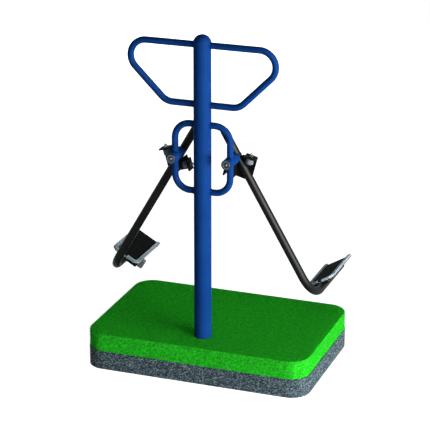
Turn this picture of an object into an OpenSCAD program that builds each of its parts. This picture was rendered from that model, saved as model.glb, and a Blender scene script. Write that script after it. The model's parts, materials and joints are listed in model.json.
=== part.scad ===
// Outdoor leg swing trainer. A post stands in a turf-covered gravel bed and carries a bent
// handlebar and a pivot frame with two bearing hubs. Two bent legs swing sideways in the hubs,
// each with a pedal that points away from the post. The user stands behind the post, on +Y.
// Millimetres, +Z up. The origin is the middle of the bed's underside.

/* [Ground block] */
// Length of the block, side to side
base_l = 1200; // [1100:10:1500]
// Depth of the block, front to back
base_w = 800; // [760:10:1000]
// Radius of its four upright corners
base_corner_r = 100; // [40:5:160]
// Thickness of the gravel bed
gravel_t = 100; // [90:5:200]
// Thickness of the turf on it
turf_t = 100; // [80:5:160]
// Distance of the post's axis in front of the block's middle
post_setback = 236; // [180:1:260]

/* [Post] */
// Outer diameter of the post
post_d = 89; // [76:0.5:102]
// Wall of the post
post_wall = 4; // [3:0.5:6]
// Height of the post above the turf, with its dome
post_h = 1590; // [1580:5:1800]
// Height of the domed cap
dome_h = 34; // [20:1:38]
// Length of the cap's spigot in the post
spigot_h = 18; // [10:1:30]
// Side of the square foot plate under the turf
foot_w = 220; // [190:5:260]
// Thickness of the foot plate
foot_t = 12; // [8:1:20]
// Diameter of the four anchor bolts
anchor_d = 16; // [12:1:20]
// Distance between neighbouring anchor bolts
anchor_pitch = 160; // [140:5:170]
// Depth of the anchor bolts in the gravel bed
anchor_depth = 75; // [50:1:85]

/* [Handlebar] */
// Outer diameter of the handlebar and pivot frame tube
bar_d = 33.7; // [30:0.1:38]
// Wall of that tube
bar_wall = 3; // [2:0.1:4]
// Overall width of the handlebar
handle_w = 790; // [720:5:860]
// Height of the upper grip bar above the turf
handle_top = 1537; // [1500:1:1550]
// Height of the lower grip bar above the turf
handle_bottom = 1234; // [1200:1:1260]
// Bend radius of the handlebar, to the tube's middle
handle_bend_r = 82; // [60:1:95]
// Slope of the handlebar's side runs
handle_slope = 45; // [42:1:55]

/* [Pivot frame] */
// Distance between the two pivots
pivot_spacing = 292; // [286:1:330]
// Height of the pivots above the turf
pivot_h = 954; // [940:1:970]
// Height of the frame's upper run above the turf
bow_top = 1131; // [1110:1:1160]
// Height of the frame's lower run above the turf
bow_bottom = 782; // [750:1:800]
// Bend radius of the frame, to the tube's middle
bow_bend_r = 80; // [60:1:95]
// Outer diameter of a bearing hub
hub_d = 54; // [50:0.5:60]
// Distance of the hub's front face from the post's axis
hub_front = 58; // [50:1:70]
// Distance of the hub's rear face from the post's axis
hub_rear = 72; // [68:1:76]
// Thickness of the lug that the rubber buffers meet
lug_t = 12; // [8:1:16]
// How far the lug reaches below the pivot
lug_drop = 94; // [85:1:105]

/* [Bearings] */
// Bore of a bearing, which is the spindle's diameter
spindle_d = 20; // [17:1:22]
// Outer diameter of a bearing
bearing_d = 42; // [40:1:44]
// Width of a bearing
bearing_w = 12; // [10:1:14]
// Depth of each bearing in its end of the hub
bearing_inset = 6; // [5:0.5:9]
// Diameter of a bearing ball
ball_d = 6; // [5:0.5:6.5]
// Balls in one bearing
ball_count = 9; // [7:1:10]

/* [Front retainer] */
// Diameter of the disc that shows in front of the hub
disc_d = 46; // [40:1:54]
// Thickness of the disc
disc_t = 4; // [3:0.5:6]
// Diameter of the recess round the disc's screw
disc_recess_d = 26; // [20:1:30]
// Thread of the disc's screw
disc_screw_d = 10; // [6:1:12]

/* [Legs] */
// Outer diameter of the leg tube
leg_d = 42.4; // [38:0.1:48.3]
// Wall of the leg tube
leg_wall = 3; // [2:0.1:4]
// Distance of the leg's middle behind the post's axis
leg_y = 108; // [106:1:120]
// Length from the pivot to the middle of the pedal run
leg_len = 818; // [760:1:840]
// Length of the leg above the pivot
leg_over = 141; // [100:1:160]
// Bend radius at the pedal run, to the tube's middle
leg_bend_r = 115; // [90:1:125]
// Angle of the leg from upright when it rests on its outer stop
leg_rest_angle = 30; // [25:1:35]
// Outer diameter of the sleeve that crosses the leg at its pivot
sleeve_d = 30; // [28:1:36]
// Projection of the sleeve behind the leg
sleeve_over = 1.5; // [0:0.5:8]

/* [Stops] */
// Thickness of the stop wings' plate
wing_t = 8; // [5:0.5:9]
// Half width of the wings at their upper edge
wing_top_w = 57; // [50:1:62]
// Depth of that edge below the pivot
wing_top_drop = 9; // [5:1:15]
// How far the upper edge of the inner wing dips towards the leg
wing_dip = 28; // [0:1:34]
// Length of a wing's folded flange
flange_len = 57; // [50:1:65]
// Distance of a flange's front edge from the post's axis
flange_front = 50; // [44:1:58]
// Slope of the flanges
flange_slope = 45; // [42:1:48]
// Inner radius of the wing's fold
fold_r = 3; // [2:0.5:5]
// Diameter of a rubber buffer
buffer_d = 40; // [30:1:44]
// Thread of the buffer's stud
stud_d = 10; // [8:1:12]

/* [Pedals] */
// Length of a pedal
pedal_l = 330; // [290:5:360]
// Width of a pedal
pedal_w = 162; // [150:2:200]
// Distance of the pedal's front edge from the post's axis
pedal_front = 260; // [250:1:280]
// Thickness of the pedal plate
plate_t = 3; // [2:0.5:5]
// Width of the raised rim bars
rim_w = 18; // [12:1:22]
// Height of the rim bars on the plate
rim_h = 11; // [6:0.5:14]
// Width of the groove along a rim's top
rim_groove_w = 4; // [2:0.5:6]
// Length of the slanted corner of a rim
rim_chamfer = 22; // [14:1:40]
// Gap between the two rims at the front
rim_gap = 24; // [10:1:40]
// Thickness of the tread mat
mat_t = 3; // [2:0.5:8]
// How much of the plate shows between the mat's front corners and the rims
mat_corner_gap = 18; // [2:1:28]
// Diameter of a tread stud
tread_d = 9; // [6:0.5:12]
// Distance between tread studs
tread_pitch = 28; // [24:1:34]
// Thickness of the angle brackets under the plate
bracket_t = 5; // [3:0.5:6]
// Height of the angle brackets
bracket_h = 16; // [14:1:20]
// Width of a pedal bumper, across the pedal
bumper_w = 30; // [26:1:40]
// Length of a pedal bumper, along the pedal
bumper_l = 28; // [20:1:40]
// How far the bumper stands out beside the pedal
bumper_out = 20; // [10:1:21]

/* [Clearances] */
// Gap left for a weld
weld_gap = 0.2; // [0.1:0.05:0.3]
// Radial clearance of bearings on their seats
seat_gap = 0.03; // [0.01:0.01:0.05]
// Running gap between a turning face and a fixed one
run_gap = 0.4; // [0.3:0.1:1]
// Radial clearance of bolts in their holes
bolt_gap = 0.3; // [0.2:0.05:0.5]

/* [Hidden] */
$fn = 72;
left = -1;
right = 1;
eps = 0.5;
blue = "#15489c";
black = "#2a2d2b";
pale = "#b4bfc8";
steel = "#9aa2a8";
rubber = "#7c858a";
ground_top = gravel_t + turf_t;
post_r = post_d / 2;
bar_r = bar_d / 2;
hub_r = hub_d / 2;
leg_r = leg_d / 2;

// straight runs of the handlebar lap onto its bends, which a bender leaves this much thinner
run_step = 0.02;
run_lap = 0.5;
pivot_x = pivot_spacing / 2;

// foot and anchors
nut_af = 1.5 * anchor_d;
nut_h = 0.8 * anchor_d;
anchor_tip = 8;
pocket_gap = 5;
pocket_h = foot_t + nut_h + anchor_tip + pocket_gap;

// bearing seats, measured along Y from the post's axis
front_seat = -hub_front + bearing_inset;
rear_seat = hub_rear - bearing_inset - bearing_w;
shoulder = 3;
circlip_t = 1.75;
circlip_w = 3;
inner_land = 3.2;
pitch_r = (spindle_d + bearing_d) / 4;
groove_r = ball_d / 2 + 0.15;

// front retainer and rear sleeve
nose_d = spindle_d + 2 * inner_land;
disc_back = -hub_front - run_gap;
recess_depth = 2;
screw_head_d = 1.75 * disc_screw_d;
screw_head_h = 0.55 * disc_screw_d;
sleeve_start = hub_rear + 2;
sleeve_end = leg_y + leg_r + sleeve_over;
tail_d = 0.6 * spindle_d;
tail_nut_af = 1.5 * tail_d;
tail_nut_h = 0.85 * tail_d;
tail_washer_t = 3;
tail_wall = 2.5;
tail_pocket_r = sleeve_d / 2 - tail_wall;
tail_seat = sleeve_end - tail_washer_t - tail_nut_h - 1;

// stop wings and their flanges, in the leg's own frame
flange_x = wing_top_w + flange_len / 2 * cos(flange_slope);
flange_z = -wing_top_drop - flange_len / 2 * sin(flange_slope);
corner_x = wing_top_w + flange_len * cos(flange_slope);
corner_z = -wing_top_drop - flange_len * sin(flange_slope);
wing_foot_w = leg_r - 1;
wing_back = leg_y + wing_t / 2;
fold_out = fold_r + wing_t;
fold_land = fold_out + wing_t;
wing_step = 0.05;
buffer_y = (flange_front + wing_back) / 2;
buffer_lean = 90 - flange_slope - leg_rest_angle;
buffer_tip = 3;
face_x = flange_x - wing_t * sin(flange_slope);
face_z = flange_z - wing_t * cos(flange_slope);
face_off = face_x * cos(leg_rest_angle) + face_z * sin(leg_rest_angle);
buffer_reach = face_off - lug_t / 2 - run_gap - buffer_d / 2 * sin(buffer_lean);
buffer_l = buffer_reach / cos(buffer_lean);
stud_in = 14;
stud_tip = 7;
washer_t = 2;
lug_end = leg_y - leg_r - 2.8;

// pedal levels, along the leg from the middle of its pedal run
plate_z = leg_r + weld_gap;
deck_z = plate_z + plate_t;
pedal_back = pedal_front + pedal_l;
half_w = pedal_w / 2;
groove_depth = 1.5;
mat_gap = 1;
mat_r = half_w - rim_w - mat_gap;
tread_h = 2;
tread_cols = 2 * floor((mat_r - tread_d) / tread_pitch) + 1;
mat_front = pedal_front + rim_w + mat_gap;
mat_cut = rim_chamfer - rim_w * (1 - tan(22.5)) + mat_corner_gap;
tread_first = mat_front + mat_cut + tread_d / 2;
tread_rows = floor((pedal_back - tread_d - tread_first) / tread_pitch) + 1;
bracket_x = leg_r * 0.68;
bracket_outer_end = 0.53 * half_w;
bracket_inner_end = half_w - 2;
bracket_leg = 22;
bracket_inset = 6;
pedal_bolt_d = 8;
pedal_bolt_x = (leg_r + bracket_outer_end) / 2 + 1;
bumper_y = pedal_front + 62;
bumper_drop = 38;
bumper_rise = 10;
plug_t = 4;
plug_in = 20;

// Frames of reference

// Origin on the turf at the post's axis
module at_post() translate([0, -post_setback, ground_top]) children();

// The right-hand half as drawn, or its mirror image
module on_side(side) {
    if (side < 0) mirror([1, 0, 0]) children();
    else children();
}

// Origin on the pivot's axis, beside the post
module at_pivot(side) at_post() on_side(side) translate([pivot_x, 0, pivot_h]) children();

// The leg's own frame: X outwards across the leg, Z up along it, origin on the pivot's axis
module on_leg(side) at_pivot(side) rotate([0, -leg_rest_angle, 0]) children();

// Origin at the middle of the pedal run, on the tube's axis
module on_pedal(side) on_leg(side) translate([0, 0, -leg_len]) children();

// Origin on the outer face of a wing's flange, X straight out of it
module on_flange(wing) on_side(wing) translate([flange_x, 0, flange_z])
    rotate([0, flange_slope - 90, 0]) children();

// A cylinder along +Y, from y0 to y1
module along_y(r, y0, y1) translate([0, y0, 0]) rotate([-90, 0, 0]) cylinder(r = r, h = y1 - y0);

// A ring along +Y
module ring_y(r_out, r_in, y0, y1) difference() {
    along_y(r_out, y0, y1);
    along_y(r_in, y0 - eps, y1 + eps);
}

// A bend of round bar in the XY plane, counted from the X axis
module bend(r_bend, r, start, sweep) rotate([0, 0, start])
    rotate_extrude(angle = sweep) translate([r_bend, 0]) circle(r = r);

// A hexagon across its flats, along +Z
module hexagon(across, h) cylinder(d = across / cos(30), h = h, $fn = 6);

// Ground block

module block_outline(h) union() {
    for (x = [-1, 1], y = [-1, 1])
        translate([x * (base_l / 2 - base_corner_r), y * (base_w / 2 - base_corner_r), 0])
            cylinder(r = base_corner_r, h = h);
    translate([-base_l / 2, base_corner_r - base_w / 2, 0]) cube([base_l, base_w - 2 * base_corner_r, h]);
    translate([base_corner_r - base_l / 2, -base_w / 2, 0]) cube([base_l - 2 * base_corner_r, base_w, h]);
}

module each_anchor() for (x = [-1, 1], y = [-1, 1])
    translate([x * anchor_pitch / 2, y * anchor_pitch / 2 - post_setback, gravel_t]) children();

module gravel_bed() color("#55585f") difference() {
    block_outline(gravel_t);
    each_anchor() translate([0, 0, -anchor_depth - eps])
        cylinder(d = anchor_d + 2 * bolt_gap, h = anchor_depth + 2 * eps);
}

module turf_layer() color("#21a821") difference() {
    translate([0, 0, gravel_t]) block_outline(turf_t);
    translate([0, -post_setback, gravel_t]) cylinder(r = post_r + bolt_gap, h = turf_t + eps);
    translate([-foot_w / 2 - pocket_gap, -post_setback - foot_w / 2 - pocket_gap, gravel_t - eps])
        cube([foot_w + 2 * pocket_gap, foot_w + 2 * pocket_gap, pocket_h + eps]);
}

// Post

module post_tube() color(blue) translate([0, -post_setback, gravel_t + foot_t]) difference() {
    cylinder(r = post_r, h = turf_t - foot_t + post_h - dome_h);
    translate([0, 0, -eps])
        cylinder(r = post_r - post_wall, h = turf_t - foot_t + post_h - dome_h + 2 * eps);
}

module post_cap() color(blue) at_post() union() {
    ball_r = (post_r * post_r + dome_h * dome_h) / (2 * dome_h);
    intersection() {
        translate([0, 0, post_h - ball_r]) sphere(r = ball_r);
        translate([-post_d, -post_d, post_h - dome_h]) cube([2 * post_d, 2 * post_d, 2 * dome_h]);
    }
    translate([0, 0, post_h - dome_h - spigot_h]) cylinder(r = post_r - post_wall - weld_gap, h = spigot_h);
}

module foot_plate() color(steel) difference() {
    translate([-foot_w / 2, -post_setback - foot_w / 2, gravel_t]) cube([foot_w, foot_w, foot_t]);
    each_anchor() translate([0, 0, -eps]) cylinder(d = anchor_d + 2 * bolt_gap, h = foot_t + 2 * eps);
}

module anchor_bolts() color(steel) each_anchor() translate([0, 0, -anchor_depth])
    cylinder(d = anchor_d, h = anchor_depth + foot_t + nut_h + anchor_tip);

module anchor_nuts() color(steel) each_anchor() translate([0, 0, foot_t]) difference() {
    hexagon(nut_af, nut_h);
    translate([0, 0, -eps]) cylinder(d = anchor_d + 2 * seat_gap, h = nut_h + 2 * eps);
}

// Handlebar

module handle_path(r) {
    run_r = r + run_step;
    diag_l = (handle_top - handle_bottom - 2 * handle_bend_r) / sin(handle_slope);
    top_x = handle_w / 2 - bar_r - handle_bend_r;
    low_x = top_x - diag_l * cos(handle_slope);
    top_z = handle_top - handle_bend_r;
    low_z = handle_bottom + handle_bend_r;
    translate([0, 0, handle_top]) rotate([0, 90, 0]) cylinder(r = run_r, h = top_x + run_lap);
    translate([top_x, 0, top_z]) rotate([90, 0, 0])
        bend(handle_bend_r, r, handle_slope - 90, 180 - handle_slope);
    translate([low_x + handle_bend_r * sin(handle_slope), 0, low_z - handle_bend_r * cos(handle_slope)])
        rotate([0, 90 - handle_slope, 0]) translate([0, 0, -run_lap])
            cylinder(r = run_r, h = diag_l + 2 * run_lap);
    translate([low_x, 0, low_z]) rotate([90, 0, 0]) bend(handle_bend_r, r, -90, handle_slope);
    translate([0, 0, handle_bottom]) rotate([0, 90, 0]) cylinder(r = run_r, h = low_x + run_lap);
}

module handlebar(side) color(blue) at_post() on_side(side) difference() {
    handle_path(bar_r);
    handle_path(bar_r - bar_wall);
    cylinder(r = post_r + weld_gap, h = post_h);
}

// Pivot frame: bent bows between the post and the hubs

module bow_path(r, run_h, turn) {
    bend_z = run_h - turn * bow_bend_r;
    translate([0, 0, run_h]) rotate([0, 90, 0]) cylinder(r = r, h = pivot_x - bow_bend_r);
    translate([pivot_x - bow_bend_r, 0, bend_z]) rotate([90, 0, 0])
        bend(bow_bend_r, r, turn > 0 ? 0 : -90, 90);
    translate([pivot_x, 0, min(bend_z, pivot_h)]) cylinder(r = r, h = abs(bend_z - pivot_h));
}

module bow(side, run_h, turn) color(blue) at_post() on_side(side) difference() {
    bow_path(bar_r, run_h, turn);
    bow_path(bar_r - bar_wall, run_h, turn);
    cylinder(r = post_r + weld_gap, h = post_h);
    translate([pivot_x, 0, pivot_h]) along_y(hub_r + weld_gap, -bar_d, bar_d);
}

module upper_bow(side) bow(side, bow_top, 1);

module lower_bow(side) bow(side, bow_bottom, -1);

module hub(side) color(blue) at_pivot(side) difference() {
    along_y(hub_r, -hub_front, hub_rear);
    along_y(bearing_d / 2 - shoulder, -hub_front - eps, hub_rear + eps);
    along_y(bearing_d / 2 + seat_gap, -hub_front - eps, front_seat + bearing_w);
    along_y(bearing_d / 2 + seat_gap, rear_seat, hub_rear + eps);
    along_y(bearing_d / 2 + 1, front_seat - circlip_t, front_seat);
    along_y(bearing_d / 2 + 1, rear_seat + bearing_w, rear_seat + bearing_w + circlip_t);
}

module stop_lug(side) color(black) difference() {
    at_pivot(side) rotate([90, 0, 90]) translate([0, 0, -lug_t / 2]) linear_extrude(lug_t) polygon([
        [0, 0], [hub_rear - 8, 0], [lug_end, -hub_r - 12], [lug_end, 12 - lug_drop],
        [lug_end - 12, -lug_drop], [0, -lug_drop]
    ]);
    at_pivot(side) along_y(hub_r + weld_gap, -bar_d, hub_rear + leg_y);
    at_post() on_side(side) bow_path(bar_r + weld_gap, bow_bottom, -1);
}

// Bearings, spindles and what holds them

module both_seats() for (y = [front_seat, rear_seat]) translate([0, y, 0]) children();

module ball_groove() rotate([-90, 0, 0]) rotate_extrude()
    translate([pitch_r, bearing_w / 2]) circle(r = groove_r, $fn = 32);

module bearing_outer_rings() color(steel) for (side = [left, right])
    at_pivot(side) both_seats() difference() {
        ring_y(bearing_d / 2, bearing_d / 2 - inner_land, 0, bearing_w);
        ball_groove();
    }

module inner_rings(side) color(steel) on_leg(side) both_seats() difference() {
    ring_y(spindle_d / 2 + inner_land, spindle_d / 2 + seat_gap, 0, bearing_w);
    ball_groove();
}

module bearing_balls(side) color(steel) on_leg(side) both_seats() for (i = [0 : ball_count - 1])
    rotate([0, i * 360 / ball_count, 0]) translate([pitch_r, bearing_w / 2, 0])
        sphere(d = ball_d, $fn = 32);

module bearing_spacer(side) color(steel) on_leg(side)
    ring_y(nose_d / 2, spindle_d / 2 + seat_gap, front_seat + bearing_w, rear_seat);

module bearing_circlips() color(steel)
    for (side = [left, right], y = [front_seat - circlip_t, rear_seat + bearing_w])
    at_pivot(side) difference() {
        ring_y(bearing_d / 2 + 0.9, bearing_d / 2 - circlip_w, y, y + circlip_t);
        translate([-2, y - eps, 0]) cube([4, circlip_t + 2 * eps, bearing_d]);
    }

module spindle(side) color(steel) on_leg(side) difference() {
    union() {
        along_y(spindle_d / 2, disc_back + weld_gap, tail_seat);
        along_y(tail_d / 2, tail_seat - eps, sleeve_end - 0.5);
    }
    along_y(disc_screw_d / 2 + seat_gap, disc_back - eps, disc_back + 2.5 * disc_screw_d);
}

// Sunk in the sleeve's rear end, with its washer
module spindle_nut(side) color(steel) on_leg(side) translate([0, tail_seat, 0])
    rotate([-90, 0, 0]) difference() {
        union() {
            cylinder(r = tail_pocket_r - 0.5, h = tail_washer_t);
            hexagon(tail_nut_af, tail_washer_t + tail_nut_h);
        }
        translate([0, 0, -eps])
            cylinder(d = tail_d + 2 * seat_gap, h = tail_washer_t + tail_nut_h + 2 * eps);
    }

module front_disc(side) color(pale) on_leg(side) difference() {
    union() {
        along_y(disc_d / 2, disc_back - disc_t, disc_back);
        along_y(nose_d / 2, disc_back - eps, front_seat);
    }
    along_y(spindle_d / 2 + seat_gap, disc_back, front_seat + eps);
    along_y(disc_recess_d / 2, disc_back - disc_t - eps, disc_back - disc_t + recess_depth);
    along_y(disc_screw_d / 2 + bolt_gap, disc_back - disc_t, disc_back + eps);
}

module disc_screw(side) color(steel) on_leg(side)
    translate([0, disc_back - disc_t + recess_depth, 0]) union() {
        along_y(disc_screw_d / 2, -eps, disc_t + 2 * disc_screw_d);
        difference() {
            intersection() {
                along_y(screw_head_d / 2, -screw_head_h, 0);
                translate([0, screw_head_h, 0]) sphere(r = 1.25 * screw_head_d / 2 + 0.4);
            }
            translate([0, -screw_head_h - eps, 0]) rotate([-90, 0, 0])
                hexagon(0.62 * disc_screw_d, 2.5 + eps);
        }
    }

// Legs

module leg_path(r, over) {
    drop = leg_len - leg_bend_r;
    translate([0, leg_y, -drop]) cylinder(r = r, h = drop + leg_over + over);
    translate([0, leg_y + leg_bend_r, -drop]) rotate([90, 0, 90]) bend(leg_bend_r, r, 180, 90);
    translate([0, 0, -leg_len]) along_y(r, leg_y + leg_bend_r, pedal_back + over);
}

module leg_tube(side) color(black) on_leg(side) difference() {
    leg_path(leg_r, 0);
    leg_path(leg_r - leg_wall, eps);
    along_y(sleeve_d / 2 + weld_gap, leg_y - leg_d, leg_y + leg_d);
}

module pivot_sleeve(side) color(black) on_leg(side) difference() {
    union() {
        along_y(nose_d / 2, rear_seat + bearing_w, sleeve_start + eps);
        along_y(sleeve_d / 2, sleeve_start, sleeve_end);
    }
    along_y(spindle_d / 2 + seat_gap, rear_seat, sleeve_end + eps);
    along_y(tail_pocket_r, tail_seat, sleeve_end + eps);
}

module tube_plug() union() {
    cylinder(r = leg_r, h = plug_t - 2);
    translate([0, 0, plug_t - 2]) cylinder(r1 = leg_r, r2 = leg_r - 2, h = 2);
    translate([0, 0, -plug_in]) cylinder(r = leg_r - leg_wall - weld_gap, h = plug_in);
}

module tube_plugs(side) color("#1b1c1c") on_leg(side) {
    translate([0, leg_y, leg_over]) tube_plug();
    translate([0, pedal_back, -leg_len]) rotate([-90, 0, 0]) tube_plug();
}

// Stops: two folded wings on each leg, with a rubber buffer on each flange

module wing_outline(dip) {
    edge_x = fold_land * sin(flange_slope);
    edge_z = fold_land * cos(flange_slope);
    foot_z = corner_z - (corner_x - wing_foot_w) / tan(flange_slope);
    polygon([
        [0, -wing_top_drop - dip],
        [wing_foot_w, -wing_top_drop - dip],
        [wing_top_w - fold_land / sin(flange_slope), -wing_top_drop],
        [wing_top_w - edge_x, -wing_top_drop - edge_z - wing_step],
        [corner_x - edge_x, corner_z - edge_z + wing_step],
        [wing_foot_w, foot_z],
        [0, foot_z]
    ]);
}

module wing_flange() {
    translate([-wing_t, flange_front, -flange_len / 2])
        cube([wing_t, wing_back - fold_out - flange_front, flange_len]);
    translate([-fold_out, wing_back - fold_out, -flange_len / 2])
        rotate_extrude(angle = 90) translate([fold_r, 0]) square([wing_t, flange_len]);
    translate([-fold_out - 2 * wing_t, wing_back - wing_t, -flange_len / 2])
        cube([2 * wing_t, wing_t, flange_len]);
}

module stop_wings(side) color(black) on_leg(side) for (wing = [left, right]) difference() {
    union() {
        on_side(wing) translate([0, wing_back, 0]) rotate([90, 0, 0])
            linear_extrude(wing_t) wing_outline(wing < 0 ? wing_dip : 0);
        on_flange(wing) wing_flange();
    }
    along_leg_cut();
    on_flange(wing) translate([-fold_out, buffer_y, 0]) rotate([0, 90, 0])
        cylinder(d = stud_d + 2 * bolt_gap, h = 2 * fold_out);
}

module along_leg_cut() translate([0, leg_y, -leg_len]) cylinder(r = leg_r + weld_gap, h = 2 * leg_len);

module buffers(side) color(rubber) on_leg(side) for (wing = [left, right])
    on_flange(wing) translate([-wing_t, buffer_y, 0]) rotate([0, -90, 0]) difference() {
        union() {
            cylinder(d = buffer_d, h = buffer_l - buffer_tip);
            translate([0, 0, buffer_l - buffer_tip])
                cylinder(d1 = buffer_d, d2 = buffer_d - 2 * buffer_tip, h = buffer_tip);
        }
        translate([0, 0, -eps]) cylinder(d = stud_d + 2 * seat_gap, h = stud_in + 2 * eps);
    }

module buffer_studs(side) color(steel) on_leg(side) for (wing = [left, right])
    on_flange(wing) translate([0, buffer_y, 0]) rotate([0, 90, 0]) union() {
        translate([0, 0, -wing_t - stud_in]) cylinder(d = stud_d, h = wing_t + stud_in + washer_t + stud_d);
        cylinder(d = 2 * stud_d, h = washer_t);
        translate([0, 0, washer_t - eps]) hexagon(1.7 * stud_d, 0.8 * stud_d + eps);
        translate([0, 0, washer_t]) cylinder(d = stud_d, h = 0.8 * stud_d + stud_tip);
    }

// Pedals, drawn in the pedal run's frame

// The brackets on the inner edge are longer and reach the bumper
module each_bracket(edge) mirror([edge < 0 ? 1 : 0, 0, 0]) for (y = [0, 1])
    translate([0, y > 0 ? pedal_back - bracket_inset : pedal_front + bracket_inset, 0])
        mirror([0, y, 0]) children();

module bracket(end) difference() {
    union() {
        translate([bracket_x, 0, plate_z - bracket_h]) cube([end - bracket_x, bracket_t, bracket_h]);
        translate([bracket_x, 0, plate_z - bracket_t]) cube([end - bracket_x, bracket_leg, bracket_t]);
    }
    along_y(leg_r + weld_gap, -eps, bracket_leg + eps);
    translate([pedal_bolt_x, (bracket_leg + bracket_t) / 2, 0])
        cylinder(d = pedal_bolt_d + 2 * bolt_gap, h = deck_z);
}

module pedal_brackets(side) color(black) on_pedal(side) {
    each_bracket(right) bracket(bracket_outer_end);
    each_bracket(left) bracket(bracket_inner_end);
}

module pedal_bolts(side) color(steel) on_pedal(side) for (edge = [left, right]) each_bracket(edge)
    translate([pedal_bolt_x, (bracket_leg + bracket_t) / 2, plate_z - bracket_t]) union() {
        translate([0, 0, -0.6 * pedal_bolt_d]) hexagon(1.6 * pedal_bolt_d, 0.6 * pedal_bolt_d);
        translate([0, 0, -eps]) cylinder(d = pedal_bolt_d, h = bracket_t + plate_t + eps);
    }

module pedal_plate(side) color(pale) on_pedal(side) difference() {
    translate([0, 0, plate_z]) linear_extrude(plate_t) polygon([
        [rim_chamfer - half_w, pedal_front], [half_w - rim_chamfer, pedal_front],
        [half_w, pedal_front + rim_chamfer], [half_w, pedal_back],
        [-half_w, pedal_back], [-half_w, pedal_front + rim_chamfer]
    ]);
    for (edge = [left, right]) each_bracket(edge)
        translate([pedal_bolt_x, (bracket_leg + bracket_t) / 2, 0])
            cylinder(d = pedal_bolt_d + 2 * bolt_gap, h = 2 * deck_z);
}

// Line along the pedal's edge, that far inside it, from the front gap round the slanted corner
function edge_line(inset) = [
    [rim_gap / 2, pedal_front + inset],
    [half_w - rim_chamfer - inset * tan(22.5), pedal_front + inset],
    [half_w - inset, pedal_front + rim_chamfer + inset * tan(22.5)],
    [half_w - inset, pedal_back]
];

module edge_band(outer, inner)
    polygon(concat(edge_line(outer), [for (i = [3 : -1 : 0]) edge_line(inner)[i]]));

module rim(side, edge) color(pale) on_pedal(side) on_side(edge) translate([0, 0, deck_z]) difference() {
    linear_extrude(rim_h) edge_band(0, rim_w);
    translate([0, 0, rim_h - groove_depth]) linear_extrude(rim_h)
        edge_band((rim_w - rim_groove_w) / 2, (rim_w + rim_groove_w) / 2);
}

module tread_mat(side) color("#222423") on_pedal(side) translate([0, 0, deck_z]) union() {
    linear_extrude(mat_t) polygon([
        [mat_cut - mat_r, mat_front], [mat_r - mat_cut, mat_front],
        [mat_r, mat_front + mat_cut], [mat_r, pedal_back - mat_gap],
        [-mat_r, pedal_back - mat_gap], [-mat_r, mat_front + mat_cut]
    ]);
    for (i = [0 : tread_cols - 1], j = [0 : tread_rows - 1])
        translate([(i - (tread_cols - 1) / 2) * tread_pitch, tread_first + j * tread_pitch, mat_t - eps])
            cylinder(d = tread_d, h = tread_h + eps, $fn = 24);
}

module pedal_bumper(side) color("#8b9094") on_pedal(side) union() {
    out_x = half_w + bumper_out;
    translate([-out_x, bumper_y, plate_z - bumper_drop]) cube([bumper_w, bumper_l, bumper_drop]);
    translate([-out_x, bumper_y, plate_z - eps]) cube([bumper_out - mat_gap, bumper_l, bumper_rise + eps]);
}

gravel_bed();
turf_layer();
post_tube();
post_cap();
foot_plate();
anchor_bolts();
anchor_nuts();
handlebar(left);  // left_handlebar
handlebar(right);  // right_handlebar
upper_bow(left);  // left_upper_bow
upper_bow(right);  // right_upper_bow
lower_bow(left);  // left_lower_bow
lower_bow(right);  // right_lower_bow
hub(left);  // left_hub
hub(right);  // right_hub
stop_lug(left);  // left_stop_lug
stop_lug(right);  // right_stop_lug
bearing_outer_rings();
bearing_circlips();
inner_rings(left);  // left_inner_rings
inner_rings(right);  // right_inner_rings
bearing_balls(left);  // left_bearing_balls
bearing_balls(right);  // right_bearing_balls
bearing_spacer(left);  // left_bearing_spacer
bearing_spacer(right);  // right_bearing_spacer
spindle(left);  // left_spindle
spindle(right);  // right_spindle
spindle_nut(left);  // left_spindle_nut
spindle_nut(right);  // right_spindle_nut
front_disc(left);  // left_front_disc
front_disc(right);  // right_front_disc
disc_screw(left);  // left_disc_screw
disc_screw(right);  // right_disc_screw
leg_tube(left);  // left_leg_tube
leg_tube(right);  // right_leg_tube
pivot_sleeve(left);  // left_pivot_sleeve
pivot_sleeve(right);  // right_pivot_sleeve
tube_plugs(left);  // left_tube_plugs
tube_plugs(right);  // right_tube_plugs
stop_wings(left);  // left_stop_wings
stop_wings(right);  // right_stop_wings
buffers(left);  // left_buffers
buffers(right);  // right_buffers
buffer_studs(left);  // left_buffer_studs
buffer_studs(right);  // right_buffer_studs
pedal_brackets(left);  // left_pedal_brackets
pedal_brackets(right);  // right_pedal_brackets
pedal_plate(left);  // left_pedal_plate
pedal_plate(right);  // right_pedal_plate
rim(left, left);  // left_inner_rim
rim(right, left);  // right_inner_rim
rim(left, right);  // left_outer_rim
rim(right, right);  // right_outer_rim
tread_mat(left);  // left_tread_mat
tread_mat(right);  // right_tread_mat
pedal_bolts(left);  // left_pedal_bolts
pedal_bolts(right);  // right_pedal_bolts
pedal_bumper(left);  // left_pedal_bumper
pedal_bumper(right);  // right_pedal_bumper
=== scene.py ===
"""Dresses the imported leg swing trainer: turf, gravel, paint, welds, threads and the studio.

Metres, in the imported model's own frame. The script reads nothing but that model."""

import json
import math
import random

import bmesh
import bpy
from mathutils import Matrix, Vector

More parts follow.
